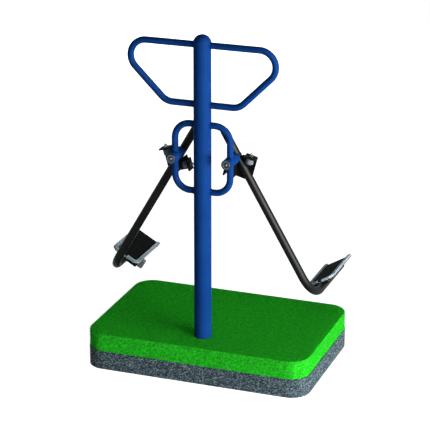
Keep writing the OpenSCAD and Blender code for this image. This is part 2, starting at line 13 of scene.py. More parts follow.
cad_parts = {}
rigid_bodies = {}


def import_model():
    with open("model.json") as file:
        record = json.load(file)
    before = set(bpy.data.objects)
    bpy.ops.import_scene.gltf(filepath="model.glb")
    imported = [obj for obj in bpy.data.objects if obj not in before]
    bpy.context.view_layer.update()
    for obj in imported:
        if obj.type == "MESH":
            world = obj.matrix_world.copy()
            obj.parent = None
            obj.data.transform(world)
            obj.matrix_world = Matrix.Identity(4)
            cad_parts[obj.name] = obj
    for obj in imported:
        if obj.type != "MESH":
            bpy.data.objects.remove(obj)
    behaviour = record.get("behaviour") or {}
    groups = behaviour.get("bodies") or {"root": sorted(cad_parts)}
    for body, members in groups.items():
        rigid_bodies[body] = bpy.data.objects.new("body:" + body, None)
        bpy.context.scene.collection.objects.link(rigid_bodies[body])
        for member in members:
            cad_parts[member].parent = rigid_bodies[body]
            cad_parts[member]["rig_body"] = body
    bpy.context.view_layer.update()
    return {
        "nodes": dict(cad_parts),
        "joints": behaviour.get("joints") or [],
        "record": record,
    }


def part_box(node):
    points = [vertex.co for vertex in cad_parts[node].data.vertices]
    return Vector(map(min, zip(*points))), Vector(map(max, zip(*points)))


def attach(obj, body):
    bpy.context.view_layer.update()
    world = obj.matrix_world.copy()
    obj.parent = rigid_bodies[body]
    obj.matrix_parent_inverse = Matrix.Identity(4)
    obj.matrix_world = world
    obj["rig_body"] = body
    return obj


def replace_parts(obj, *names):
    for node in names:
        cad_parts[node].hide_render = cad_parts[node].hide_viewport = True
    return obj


bl_info = {
    "name": "Leg swing trainer",
    "version": (1, 0, 0),
    "blender": (4, 5, 0),
    "location": "View3D > Sidebar > Trainer",
    "description": "Dresses the packed leg swing trainer and lights it",
    "category": "Object",
}

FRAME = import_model()
NODES = FRAME["nodes"]
MM = 0.001
SIDES = {"left": -1, "right": 1}
PIVOT = Vector(next(j["pos_m"] for j in FRAME["joints"] if j["name"] == "right_swing"))
# how far the legs lean outwards at rest
REST_ANGLE = math.radians(30)
LEG_RADIUS = 21.2 * MM
# the points of a weld's path are this far apart
SEAM_STEP = 0.4 * MM
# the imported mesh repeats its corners, and points closer than this are joined
SAME_POINT = 0.002 * MM
# faces that turn less than this make one flat face
FLAT = math.radians(0.4)
# from these angles on an edge is a real one, which is rounded or shaded sharp
ROUNDED_FROM = math.radians(35)
SHARP_FROM = math.radians(32)


# Colours and nodes

# a Mix node's sockets share their names, so they go by number
FACTOR, VALUE_A, VALUE_B, COLOUR_A, COLOUR_B = 0, 2, 3, 6, 7
MIXED_VALUE, MIXED_COLOUR = 0, 2


def linear(hex_colour):
    """An sRGB hex value as linear red, green, blue and alpha"""
    values = [int(hex_colour[i : i + 2], 16) / 255 for i in (1, 3, 5)]
    return [v / 12.92 if v <= 0.04045 else ((v + 0.055) / 1.055) ** 2.4 for v in values] + [1.0]


def per(size_mm):
    """The scale of a pattern whose features are that many millimetres wide"""
    return 1000 / size_mm


def add(tree, kind, inputs=None, stops=None, **settings):
    """A new node with its settings, inputs and colour stops. An input that is a socket gets
    linked, and a stop's colour is a hex value or a property's linear colour."""
    node = tree.nodes.new(kind)
    for name, value in settings.items():
        setattr(node, name, value)
    for name, value in (inputs or {}).items():
        if isinstance(value, bpy.types.NodeSocket):
            tree.links.new(value, node.inputs[name])
        else:
            node.inputs[name].default_value = value
    if stops:
        ramp = node.color_ramp
        while len(ramp.elements) < len(stops):
            ramp.elements.new(0.5)
        for element, (place, colour) in zip(ramp.elements, stops):
            element.position = place
            element.color = linear(colour) if isinstance(colour, str) else colour
    return node


def finish(name, inputs):
    """A new material with its tree, its Principled shader and the place that patterns start from"""
    material = bpy.data.materials.new(name)
    material.use_nodes = True
    tree = material.node_tree
    tree.nodes.clear()
    shader = add(tree, "ShaderNodeBsdfPrincipled", inputs)
    add(tree, "ShaderNodeOutputMaterial", {"Surface": shader.outputs["BSDF"]})
    place = add(tree, "ShaderNodeTexCoord").outputs["Object"]
    return material, tree, shader, place


def surface(tree, shader, colour, roughness=None, height=None, depth_mm=0.0, strength=0.5):
    """Links a pattern's colour, roughness and height to the shader"""
    tree.links.new(colour, shader.inputs["Base Color"])
    if roughness:
        tree.links.new(roughness, shader.inputs["Roughness"])
    if height:
        bump = add(
            tree,
            "ShaderNodeBump",
            {"Height": height, "Distance": depth_mm * MM, "Strength": strength},
        )
        tree.links.new(bump.outputs["Normal"], shader.inputs["Normal"])


def seen_directly(tree):
    """A value that is 1 for rays from the camera, for glossy and for transmission rays"""
    ray = add(tree, "ShaderNodeLightPath")
    value = ray.outputs["Is Camera Ray"]
    for kind in ("Is Glossy Ray", "Is Transmission Ray"):
        either = add(tree, "ShaderNodeMath", {0: value, 1: ray.outputs[kind]}, operation="MAXIMUM")
        value = either.outputs["Value"]
    return value


# Finishes


def powder_coat(name, colour, worn, low, high, gloss):
    """Powder-coated steel tube, sprayed and baked. The eye sees an even satin skin with a fine
    orange peel, and large soft clouds where weather has dulled it a little."""
    inputs = {"IOR": 1.5, "Specular IOR Level": gloss}
    material, tree, shader, place = finish(name, inputs)
    clouds = add(
        tree,
        "ShaderNodeTexNoise",
        {"Vector": place, "Scale": per(160), "Detail": 4.0},
    ).outputs["Fac"]
    tint = add(
        tree,
        "ShaderNodeValToRGB",
        {"Fac": clouds},
        stops=[(0.38, colour), (0.72, worn)],
    ).outputs["Color"]
    dull = add(
        tree,
        "ShaderNodeMapRange",
        {"Value": clouds, "From Min": 0.3, "From Max": 0.7, "To Min": low, "To Max": high},
    ).outputs["Result"]
    # the peel of a baked coat is about 1.6 mm wide and a few hundredths deep
    peel = add(
        tree,
        "ShaderNodeTexNoise",
        {"Vector": place, "Scale": per(1.6), "Detail": 2.0},
    ).outputs["Fac"]
    surface(tree, shader, tint, dull, peel, depth_mm=0.03, strength=0.35)
    return material


def galvanised_steel(name):
    """Hot-dip galvanised steel, gone dull outdoors. The eye sees zinc crystals of about 8 mm in
    slightly different greys."""
    material, tree, shader, place = finish(name, {"Metallic": 1.0})
    spangle = add(tree, "ShaderNodeTexVoronoi", {"Vector": place, "Scale": per(8)}).outputs["Color"]
    grey = add(tree, "ShaderNodeSeparateColor", {"Color": spangle})
    tint = add(
        tree,
        "ShaderNodeValToRGB",
        {"Fac": grey.outputs["Red"]},
        stops=[(0.0, "#50575b"), (0.5, "#666d72"), (1.0, "#7e8589")],
    ).outputs["Color"]
    dull = add(
        tree,
        "ShaderNodeMapRange",
        {"Value": grey.outputs["Green"], "To Min": 0.34, "To Max": 0.52},
    ).outputs["Result"]
    pits = add(
        tree,
        "ShaderNodeTexNoise",
        {"Vector": place, "Scale": per(0.9), "Detail": 3.0},
    ).outputs["Fac"]
    surface(tree, shader, tint, dull, pits, depth_mm=0.03, strength=0.4)
    return material


def turned_stainless(name):
    """Stainless steel faced on a lathe. The eye sees fine rings round the pivot's axis, painted
    shade in the recess and a painted highlight on the screw head in the middle."""
    material, tree, shader, place = finish(name, {"Metallic": 1.0, "Anisotropic": 0.3})
    # both sides share one ring pattern, mirrored in the middle plane
    mirrored = add(tree, "ShaderNodeVectorMath", {0: place}, operation="ABSOLUTE")
    centred = add(
        tree,
        "ShaderNodeVectorMath",
        {0: mirrored.outputs["Vector"], 1: [PIVOT.x, abs(PIVOT.y), PIVOT.z]},
        operation="SUBTRACT",
    ).outputs["Vector"]
    # a wave texture repeats every 2 pi / 20 of its scale; the tool marks are drawn 0.7 mm apart
    scale = math.tau / 20 * per(0.7)
    rings = add(
        tree,
        "ShaderNodeTexWave",
        {"Vector": centred, "Scale": scale, "Distortion": 0.4, "Detail": 1.0},
        wave_type="RINGS",
        rings_direction="Y",
    ).outputs["Fac"]
    flat = add(
        tree,
        "ShaderNodeVectorMath",
        {0: centred, 1: (1, 0, 1)},
        operation="MULTIPLY",
    ).outputs["Vector"]
    radius = add(tree, "ShaderNodeVectorMath", {0: flat}, operation="LENGTH").outputs["Value"]
    # screw head to 9 mm from the axis, pale in the middle with a painted highlight, recess to 13
    # mm, dark with painted shade, then the disc to 23 mm
    zone = add(tree, "ShaderNodeMapRange", {"Value": radius, "From Max": 23 * MM}).outputs["Result"]
    tint = add(
        tree,
        "ShaderNodeValToRGB",
        {"Fac": zone},
        # the first two stops paint the screw head's highlight, the stops at 0.4 and 0.55 the
        # recess's shade
        stops=[
            (0.0, "#86837a"),
            (0.12, "#6b6962"),
            (0.3, "#3a3c3c"),
            (0.4, "#202427"),
            (0.55, "#272c30"),
            (0.59, "#50585e"),
            (1.0, "#434a50"),
        ],
    ).outputs["Color"]
    marks = add(
        tree,
        "ShaderNodeMapRange",
        {"Value": rings, "To Min": 0.75, "To Max": 1.1},
    ).outputs["Result"]
    cut = add(
        tree,
        "ShaderNodeMix",
        {FACTOR: 1.0, COLOUR_A: tint, COLOUR_B: marks},
        data_type="RGBA",
        blend_type="MULTIPLY",
    ).outputs[MIXED_COLOUR]
    smear = add(
        tree,
        "ShaderNodeTexNoise",
        {"Vector": place, "Scale": per(14), "Detail": 3.0},
    ).outputs["Fac"]
    dull = add(
        tree,
        "ShaderNodeMapRange",
        {"Value": smear, "From Min": 0.3, "From Max": 0.7, "To Min": 0.26, "To Max": 0.42},
    ).outputs["Result"]
    surface(tree, shader, cut, dull, rings, depth_mm=0.02, strength=0.4)
    return material


def ground_steel(name):
    """Hardened bearing steel, ground and polished. The eye sees a near mirror with faint haze."""
    material, tree, shader, place = finish(name, {"Metallic": 1.0})
    haze = add(
        tree,
        "ShaderNodeTexNoise",
        {"Vector": place, "Scale": per(6), "Detail": 4.0},
    ).outputs["Fac"]
    tint = add(
        tree,
        "ShaderNodeValToRGB",
        {"Fac": haze},
        stops=[(0.3, "#b4b7ba"), (0.7, "#cdd0d2")],
    ).outputs["Color"]
    dull = add(
        tree,
        "ShaderNodeMapRange",
        {"Value": haze, "To Min": 0.1, "To Max": 0.28},
    ).outputs["Result"]
    surface(tree, shader, tint, dull, haze, depth_mm=0.01, strength=0.3)
    return material


def brushed_aluminium(name, colour, bright):
    """Aluminium bar, brushed along its length and anodised a milky grey, so that its oxide skin
    hides the metal. The eye sees a pale matte skin with hair lines that run the long way of the
    pedal, paler where shoes rub, and painted shade, near black, on the plate's edges and underside."""
    inputs = {"Metallic": 0.0, "Specular IOR Level": 0.08}
    material, tree, shader, place = finish(name, inputs)
    # hair lines 0.5 mm apart and 40 mm long, along Y
    stretch = add(
        tree,
        "ShaderNodeMapping",
        {"Vector": place, "Scale": [per(0.5), per(40), per(0.5)]},
    ).outputs["Vector"]
    hair = add(
        tree,
        "ShaderNodeTexNoise",
        {"Vector": stretch, "Scale": 1.0, "Detail": 3.0},
    ).outputs["Fac"]
    wear = add(
        tree,
        "ShaderNodeTexNoise",
        {"Vector": place, "Scale": per(45), "Detail": 4.0},
    ).outputs["Fac"]
    worn = add(tree, "ShaderNodeMath", {0: hair, 1: wear}, operation="MULTIPLY")
    tint = add(
        tree,
        "ShaderNodeValToRGB",
        {"Fac": worn.outputs["Value"]},
        stops=[(0.12, colour), (0.42, bright)],
    ).outputs["Color"]
    dull = add(
        tree,
        "ShaderNodeMapRange",
        {"Value": wear, "From Min": 0.3, "From Max": 0.7, "To Min": 0.38, "To Max": 0.52},
    ).outputs["Result"]
    # what lies over 0.4 mm below the plate's top face gets painted shade, near black: its edges and
    # its underside. Both pedals share one level, mirrored in the middle plane
    up = leg_point("right", 0, 0, 1) - leg_point("right", 0, 0, 0)
    deck = max(up.dot(v.co) for v in NODES["right_pedal_plate"].data.vertices)
    mirrored = add(tree, "ShaderNodeVectorMath", {0: place}, operation="ABSOLUTE")
    level = add(
        tree,
        "ShaderNodeVectorMath",
        {0: mirrored.outputs["Vector"], 1: [up.x, 0, up.z]},
        operation="DOT_PRODUCT",
    ).outputs["Value"]
    below = add(tree, "ShaderNodeMath", {0: level, 1: deck - 0.4 * MM}, operation="LESS_THAN")
    # painted shade: below that level the colour turns near black
    painted_shade_below_deck = add(
        tree,
        "ShaderNodeMix",
        {FACTOR: below.outputs["Value"], COLOUR_A: tint, COLOUR_B: linear("#15181a")},
        data_type="RGBA",
    ).outputs[MIXED_COLOUR]
    surface(tree, shader, painted_shade_below_deck, dull, hair, depth_mm=0.02, strength=0.35)
    return material


def moulded_rubber(name, colour, chalky, grain_mm, rough, gloss):
    """Moulded rubber. The eye sees a deep matte tone with a grey bloom and the mould's fine
    grain."""
    inputs = {"IOR": 1.52, "Roughness": rough, "Specular IOR Level": gloss}
    material, tree, shader, place = finish(name, inputs)
    bloom = add(
        tree,
        "ShaderNodeTexNoise",
        {"Vector": place, "Scale": per(38), "Detail": 5.0},
    ).outputs["Fac"]
    tint = add(
        tree,
        "ShaderNodeValToRGB",
        {"Fac": bloom},
        stops=[(0.4, colour), (0.72, chalky)],
    ).outputs["Color"]
    grain = add(
        tree,
        "ShaderNodeTexVoronoi",
        {"Vector": place, "Scale": per(grain_mm)},
    ).outputs["Distance"]
    surface(tree, shader, tint, None, grain, depth_mm=0.12, strength=0.5)
    return material


def moulded_plastic(name, colour, pale):
    """Injection-moulded polyethylene caps. The eye sees matte black with a spark-eroded grain."""
    inputs = {"IOR": 1.5, "Roughness": 0.55, "Specular IOR Level": 0.15}
    material, tree, shader, place = finish(name, inputs)
    grain = add(
        tree,
        "ShaderNodeTexNoise",
        {"Vector": place, "Scale": per(0.8), "Detail": 2.0},
    ).outputs["Fac"]
    tint = add(
        tree,
        "ShaderNodeValToRGB",
        {"Fac": grain},
        stops=[(0.35, colour), (0.7, pale)],
    ).outputs["Color"]
    surface(tree, shader, tint, None, grain, depth_mm=0.06, strength=0.5)
    return material


def artificial_turf(name, dark, middle, light):
    """Artificial turf, tufted polyethylene yarn. The eye sees a dense green nap, mottled where the
    tufts lean different ways."""
    inputs = {"Roughness": 0.8, "IOR": 1.45, "Specular IOR Level": 0.03}
    material, tree, shader, place = finish(name, inputs)
    # tufts are drawn 7 mm apart and their lean changes over about 22 mm
    tufts = add(
        tree,
        "ShaderNodeTexNoise",
        {"Vector": place, "Scale": per(7), "Detail": 3.0, "Roughness": 0.7},
    ).outputs["Fac"]
    lean = add(
        tree,
        "ShaderNodeTexNoise",
        {"Vector": place, "Scale": per(22), "Detail": 2.0},
    ).outputs["Fac"]
    mottle = add(
        tree,
        "ShaderNodeMix",
        {FACTOR: 0.18, VALUE_A: tufts, VALUE_B: lean},
        data_type="FLOAT",
    ).outputs[MIXED_VALUE]
    tint = add(
        tree,
        "ShaderNodeValToRGB",
        {"Fac": mottle},
        stops=[(0.38, dark), (0.5, middle), (0.62, light)],
    ).outputs["Color"]
    surface(tree, shader, tint, None, tufts, depth_mm=2.0, strength=0.5)
    return material


def bound_gravel(name):
    """Resin-bound gravel. The eye sees fine bluish grit packed in layers, from slate to pale grey,
    with painted shade in the gaps between the grains."""
    inputs = {"Roughness": 0.75, "IOR": 1.5, "Specular IOR Level": 0.05}
    material, tree, shader, place = finish(name, inputs)
    # grains lie flat: about 6 mm long and 3.5 mm high
    flat = add(
        tree,
        "ShaderNodeMapping",
        {"Vector": place, "Scale": [per(6), per(6), per(3.5)]},
    ).outputs["Vector"]
    cells = {"Vector": flat, "Scale": 1.0}
    grains = add(tree, "ShaderNodeTexVoronoi", cells).outputs["Color"]
    gaps = add(tree, "ShaderNodeTexVoronoi", cells, feature="DISTANCE_TO_EDGE")
    tone = add(tree, "ShaderNodeSeparateColor", {"Color": grains})
    tint = add(
        tree,
        "ShaderNodeValToRGB",
        {"Fac": tone.outputs["Red"]},
        stops=[
            (0.0, "#1c2a31"),
            (0.3, "#384b55"),
            (0.6, "#556b75"),
            (0.82, "#7d939c"),
            (1.0, "#b2c0c4"),
        ],
    ).outputs["Color"]
    # painted shade: the colour darkens towards the grains' edges, in the gaps between them
    shade = add(
        tree,
        "ShaderNodeMapRange",
        {"Value": gaps.outputs["Distance"], "From Max": 0.12, "To Min": 0.35, "To Max": 1.0},
    ).outputs["Result"]
    dark = add(
        tree,
        "ShaderNodeMix",
        {FACTOR: 1.0, COLOUR_A: tint, COLOUR_B: shade},
        data_type="RGBA",
        blend_type="MULTIPLY",
    ).outputs[MIXED_COLOUR]
    grit = add(
        tree,
        "ShaderNodeTexNoise",
        {"Vector": place, "Scale": per(1.2), "Detail": 2.0},
    ).outputs["Fac"]
    height = add(
        tree,
        "ShaderNodeMath",
        {0: shade, 1: grit},
        operation="MULTIPLY",
    ).outputs["Value"]
    surface(tree, shader, dark, None, height, depth_mm=1.5, strength=0.7)
    return material


# Shapes


def piece(name, mesh, body, slot):
    """A new object in the scene that rides on a body and wears that slot's finish"""
    made = bpy.data.objects.new(name, mesh)
    bpy.context.scene.collection.objects.link(made)
    mesh.materials.clear()
    mesh.materials.append(bpy.data.materials[FINISH_OF[slot]])
    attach(made, body)
    return made


def mesh_from(name, work, smooth=True):
    """The bmesh as a mesh of that name"""
    mesh = bpy.data.meshes.new(name)
    bmesh.ops.recalc_face_normals(work, faces=work.faces)
    for face in work.faces:
        face.smooth = smooth
    work.to_mesh(mesh)
    work.free()
    return mesh


def leg_point(side, x, y, z):
    """Where a point of the leg's own frame, X outwards and Z up along the leg, lies at rest"""
    turned = Matrix.Rotation(-REST_ANGLE, 3, "Y") @ Vector((x, 0, z))
    return Vector((SIDES[side] * (PIVOT.x + turned.x), PIVOT.y + y, PIVOT.z + turned.z))


def soften(name, width_mm, segments=2):
    """A copy of a CAD node with its edges rounded, in the node's place"""
    source = NODES[name]
    work = bmesh.new()
    work.from_mesh(source.data)
    bmesh.ops.remove_doubles(work, verts=work.verts, dist=SAME_POINT)
    bmesh.ops.dissolve_limit(work, angle_limit=FLAT, verts=work.verts, edges=work.edges)
    edges = [e for e in work.edges if e.is_manifold and e.calc_face_angle(0) > ROUNDED_FROM]
    bmesh.ops.bevel(
        work,
        geom=edges,
        offset=width_mm * MM,
        segments=segments,
        profile=0.5,
        affect="EDGES",
        clamp_overlap=True,
    )
    mesh = mesh_from(name + "_rounded", work)
    for old in [a for a in mesh.attributes if a.name == "custom_normal"]:
        mesh.attributes.remove(old)
    slot = next(p["material_slot"] for p in FRAME["record"]["subparts"] if p["node"] == name)
    made = piece(name + "_rounded", mesh, source["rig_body"], slot)
    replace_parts(made, name)
    even = made.modifiers.new("Even normals", "WEIGHTED_NORMAL")
    even.keep_sharp = True
    even.weight = 100
    return made


def bead(work, points, radius, closed=True):
    """Adds a weld bead along the points: a round seam with the ripples that a welder leaves"""
    count = len(points)
    sides = 8
    # the ripples' length, and their height and an open end's size as shares of the radius
    ripple, swelling, end = 1.6 * MM, 0.16, 0.35
    rings = []
    travelled = 0.0
    for i, point in enumerate(points):
        before = points[(i - 1) % count] if closed or i else point
        after = points[(i + 1) % count] if closed or i < count - 1 else point
        along = (after - before).normalized()
        if i == 0:
            across = along.orthogonal().normalized()
        else:
            across = (across - along * across.dot(along)).normalized()
            travelled += (point - points[i - 1]).length
        up = along.cross(across)
        swell = radius * (1 + swelling * math.sin(math.tau * travelled / ripple))
        if not closed and i in (0, count - 1):
            swell = radius * end
        rings.append(
            [
                work.verts.new(point + (across * math.cos(a) + up * math.sin(a)) * swell)
                for a in (math.tau * k / sides for k in range(sides))
            ]
        )
    for i in range(count if closed else count - 1):
        here, there = rings[i], rings[(i + 1) % count]
        # the last ring meets the first where their corners lie closest
        shift = 0
        if i == count - 1:
            shift = min(range(sides), key=lambda s: (here[0].co - there[s].co).length)
        for k in range(sides):
            n = (k + 1) % sides
            face = here[k], here[n], there[(n + shift) % sides], there[(k + shift) % sides]
            work.faces.new(face)
    if not closed:
        work.faces.new(rings[0])
        work.faces.new(rings[-1])


def line(start, end):
    """Evenly spaced points from start to end"""
    count = max(3, int((end - start).length / SEAM_STEP))
    return [start.lerp(end, i / count) for i in range(count + 1)]


def round_joint(centre, radius, host_radius, along, host_along, reach):
    """The seam where a tube of that radius, along one axis, meets a round host along another.
    The seam lies on the side of the host's axis that reach points to."""
    third = along.cross(host_along)
    steps = max(48, int(math.tau * radius / SEAM_STEP))
    seam = []
    for i in range(steps):
        turn = math.tau * i / steps
        off = radius * math.cos(turn)
        rise = radius * math.sin(turn)
        depth = math.sqrt(max(host_radius**2 - off**2, 0))
        seam.append(centre + third * off + host_along * rise + along * reach * depth)
    return seam


def thread(work, start, along, radius, length, pitch):
    """Adds a screw thread: one helical ridge round the axis that starts at that point"""
    across = along.orthogonal().normalized()
    up = along.cross(across)
    around, rows = 20, max(8, int(length / pitch * 6))
    # in pitches: the ridge's height, how far its root and the thread's end lie within the radius,
    # and the length over which the ridge fades out there
    ridge, root, end, runout = 0.42, 0.16, 0.12, 0.8
    grid = []
    for j in range(rows + 1):
        at = length * j / rows
        fade = min(1.0, (length - at) / (runout * pitch))
        ring = []
        for k in range(around):
            turn = math.tau * k / around
            phase = (at / pitch - k / around) % 1.0
            height = (ridge * abs(2 * phase - 1) - root) * fade - end * (1 - fade)
            out = across * math.cos(turn) + up * math.sin(turn)
            ring.append(work.verts.new(start + along * at + out * (radius + pitch * height)))
        grid.append(ring)
    for j in range(rows):
        for k in range(around):
            n = (k + 1) % around
            work.faces.new((grid[j][k], grid[j][n], grid[j + 1][n], grid[j + 1][k]))
    work.faces.new(grid[-1])
    work.faces.new(grid[0])


def paint(names, material):
    """Gives CAD nodes their finish and smooth shading up to their real edges"""
    for name in names:
        mesh = NODES[name].data
        mesh.materials.clear()
        mesh.materials.append(material)
        mesh.set_sharp_from_angle(angle=SHARP_FROM)
        for face in mesh.polygons:
            face.use_smooth = True


def both(*names):
    """The left and the right node of each name"""
    return [f"{side}_{name}" for side in SIDES for name in names]


FINISH_OF = {
    "gravel": "bound_gravel",
    "turf": "artificial_turf",
    "blue_powder_coat": "blue_powder_coated_steel",
    "black_powder_coat": "matt_black_coated_steel",
    "black_satin_coat": "satin_black_coated_steel",
    "galvanised_steel": "galvanised_steel",
    "stainless_steel": "turned_stainless_steel",
    "bearing_steel": "ground_bearing_steel",
    "black_plastic": "black_moulded_polyethylene",
    "buffer_rubber": "grey_buffer_rubber",
    "brushed_aluminium": "brushed_anodised_aluminium",
    "tread_rubber": "studded_tread_rubber",
    "grey_rubber": "grey_moulded_rubber",
}


# What a user may change


def colour_property(name, text, default):
    """A colour, from its hex value"""
    return bpy.props.FloatVectorProperty(
        name=name,
        description=text,
        default=linear(default),
        size=4,
        min=0,
        max=1,
        subtype="COLOR",
    )


def number_property(name, text, default, low=0, unit="NONE"):
    """A number in that unit, and its least value"""
    return bpy.props.FloatProperty(name=name, description=text, default=default, min=low, unit=unit)


def angle_property(name, text, default_degrees):
    """An angle, from its value in degrees"""
    default = math.radians(default_degrees)
    return bpy.props.FloatProperty(name=name, description=text, default=default, subtype="ANGLE")


def length_property(name, text, default_mm, low_mm, high_mm):
    """A length, from its values in millimetres"""
    return bpy.props.FloatProperty(
        name=name,
        description=text,
        default=default_mm * MM,
        min=low_mm * MM,
        max=high_mm * MM,
        subtype="DISTANCE",
        unit="LENGTH",
        precision=4,
    )


class TRAINER_PG_details(bpy.types.PropertyGroup):
    """Sizes of the small forms that the scene adds"""

    weld: length_property("Weld bead", "Radius of a weld bead", 2.2, 1, 4)
    edge: length_property("Plate edge", "Rounding of the plates' edges", 0.9, 0.2, 2)
    blade: length_property("Blade height", "Length of the turf's blades", 5.0, 2, 12)
    tuft: length_property("Tuft spacing", "Distance between the turf's tufts", 8.0, 5, 20)
    thread_pitch: length_property("Thread pitch", "Pitch of the studs' threads", 1.5, 1, 3)


class TRAINER_PG_colours(bpy.types.PropertyGroup):
    """Colours of the frame's coat and of the turf"""

    coat: colour_property("Frame", "Colour of the frame's coat", "#0e4088")
    coat_worn: colour_property("Worn frame", "The frame's coat where it has dulled", "#144791")
    turf_dark: colour_property("Dark turf", "The turf between its tufts", "#1a9e1d")
    turf_middle: colour_property("Turf", "Colour of most of the turf", "#29d226")
    turf_light: colour_property("Light turf", "The turf's brightest yarn", "#40f03a")


class TRAINER_PG_stage(bpy.types.PropertyGroup):
    """The studio's camera and lamps"""

    camera: bpy.props.FloatVectorProperty(
        name="Camera",
        description="Place of the camera",
        default=(3.156, -8.633, 4.099),
        subtype="XYZ",
        unit="LENGTH",
    )
    turn: angle_property("Turn", "Camera's angle round the object", 20.178)
    tilt: angle_property("Tilt", "Camera's angle above the level", 19.887)
    lens: number_property("Lens", "Focal length in millimetres", 158.85, 20, "CAMERA")
    key: number_property("Key lamp", "Power of the lamp on the right", 490, unit="POWER")
    fill: number_property("Fill lamp", "Power of the lamp in front", 38, unit="POWER")
    streak: number_property("Streak lamp", "Lamp that only gloss shows", 2200, unit="POWER")
    back: number_property("Back lamp", "Power of the lamp behind", 190, unit="POWER")
    ambient: number_property("Ambient", "Light from all around", 0.045)


# Operators


class TRAINER_OT_finishes(bpy.types.Operator):
    """Make the finishes and give them to the CAD nodes"""

    bl_idname = "trainer.finishes"
    bl_label = "Finishes"

    def execute(self, context):
        colours = context.scene.trainer_colours
        coat = colours.coat, colours.coat_worn
        yarn = colours.turf_dark, colours.turf_middle, colours.turf_light
        # after the colours: a coat's least and greatest roughness and its gloss, and the width of
        # a rubber's grain in millimetres, its roughness and its gloss
        makers = {
            "gravel": bound_gravel,
            "turf": lambda n: artificial_turf(n, *yarn),
            "blue_powder_coat": lambda n: powder_coat(n, *coat, 0.48, 0.58, 0.012),
            "black_powder_coat": lambda n: powder_coat(n, "#0b0d0c", "#121413", 0.58, 0.68, 0.03),
            "black_satin_coat": lambda n: powder_coat(n, "#0f1211", "#171a19", 0.35, 0.42, 0.07),
            "galvanised_steel": galvanised_steel,
            "stainless_steel": turned_stainless,
            "bearing_steel": ground_steel,
            "black_plastic": lambda n: moulded_plastic(n, "#121313", "#1c1e1e"),
            "buffer_rubber": lambda n: moulded_rubber(n, "#757e83", "#8a9398", 1.4, 0.6, 0.08),
            "brushed_aluminium": lambda n: brushed_aluminium(n, "#9caeb8", "#b8cad4"),
            "tread_rubber": lambda n: moulded_rubber(n, "#0d100f", "#161918", 1.8, 0.8, 0.02),
            "grey_rubber": lambda n: moulded_rubber(n, "#7d8286", "#979ca0", 1.6, 0.7, 0.08),
        }
        for slot, make in makers.items():
            material = make(FINISH_OF[slot])
            names = [p["node"] for p in FRAME["record"]["subparts"] if p["material_slot"] == slot]
            paint(names, material)
        return {"FINISHED"}


class TRAINER_OT_turf(bpy.types.Operator):
    """Tuft the turf: short blades over its top and sides"""

    bl_idname = "trainer.turf"
    bl_label = "Turf"

    def execute(self, context):
        details = context.scene.trainer_details
        blade, step = details.blade, details.tuft
        blades_per_tuft = 4
        low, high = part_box("turf_layer")
        # the block's rounded corner
        corner = 100 * MM
        # the faces round the post's footing stay in place, and no tuft grows under the post
        post_y, footing, clear = PIVOT.y, 200 * MM, 50 * MM
        # the backing lies four fifths of a blade inside the turf's faces, so tips end near them
        inset = blade * 0.8
        shrink = 1 - 2 * inset / (high.x - low.x), 1 - 2 * inset / (high.y - low.y)
        work = bmesh.new()
        work.from_mesh(NODES["turf_layer"].data)
        bmesh.ops.remove_doubles(work, verts=work.verts, dist=SAME_POINT)
        for vertex in work.verts:
            if abs(vertex.co.x) > footing or abs(vertex.co.y - post_y) > footing:
                vertex.co.x *= shrink[0]
                vertex.co.y *= shrink[1]
            if vertex.co.z > high.z - 1 * MM:
                vertex.co.z -= inset
        backing = mesh_from("turf_backing", work, smooth=False)
        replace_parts(piece("turf_backing", backing, "frame", "turf"), "turf_layer")

        rng = random.Random(7)
        work = bmesh.new()

        def tuft(foot, out):
            """Adds one tuft: pointed blades that stand round a foot and lean all ways"""
            across = out.orthogonal().normalized()
            for _ in range(blades_per_tuft):
                spin = rng.uniform(0, math.tau)
                towards = Matrix.Rotation(rng.uniform(0, math.tau), 3, out) @ across
                lean = towards * rng.uniform(0.1, 0.55) * 0.9
                aside = Matrix.Rotation(spin + 1, 3, out) @ across
                root = foot + aside * step * rng.uniform(0, 0.5)
                tip = root + (out + lean) * blade * rng.uniform(0.7, 1.0)
                # a blade is a little over a quarter as wide as it is long
                half = (Matrix.Rotation(spin, 3, out) @ across) * blade * 0.14
                work.faces.new([work.verts.new(p) for p in (root - half, root + half, tip)])

        def depth_inside(x, y):
            """How far inside the rounded outline a point lies"""
            dx = abs(x) - (high.x - corner)
            dy = abs(y) - (high.y - corner)
            if dx > 0 and dy > 0:
                return corner - math.hypot(dx, dy)
            return corner - max(dx, dy)

        rows = int((high.y - low.y) / step)
        columns = int((high.x - low.x) / step)
        for j in range(rows):
            for i in range(columns):
                x = low.x + (i + rng.uniform(0.2, 0.8)) * step
                y = low.y + (j + rng.uniform(0.2, 0.8)) * step
                if depth_inside(x, y) < 2 * inset or math.hypot(x, y - post_y) < clear:
                    continue
                tuft(Vector((x, y, high.z - inset)), Vector((0, 0, 1)))

        # the sides: four straight walls, each with the quarter corner that follows it. With its
        # face turned to X, a wall runs from -half_y to half_y, and its corners centre on half_x
        walls = 2 * ((high.x - corner, high.y - corner), (high.y - corner, high.x - corner))
        quarter = corner * math.pi / 2
        lap = sum(2 * half_y + quarter for _, half_y in walls)
        levels = int((high.z - low.z) / step)
        for j in range(levels):
            for i in range(int(lap / step)):
                at = (i + rng.uniform(0.2, 0.8)) * step
                for turn, (half_x, half_y) in enumerate(walls):
                    run = 2 * half_y
                    if at < run + quarter:
                        break
                    at -= run + quarter
                if at < run:
                    spot = Vector((half_x + corner - inset, at - half_y, 0))
                    out = Vector((1, 0, 0))
                else:
                    a = min((at - run) / corner, math.pi / 2)
                    out = Vector((math.cos(a), math.sin(a), 0))
                    spot = Vector((half_x, half_y, 0)) + out * (corner - inset)
                swing = Matrix.Rotation(turn * math.pi / 2, 3, "Z")
                spot, out = swing @ spot, swing @ out
                spot.z = low.z + (j + rng.uniform(0.3, 0.7)) * step
                tuft(spot, out)
        blades = mesh_from("turf_blades", work, smooth=False)
        piece("turf_blades", blades, "frame", "turf")
        return {"FINISHED"}


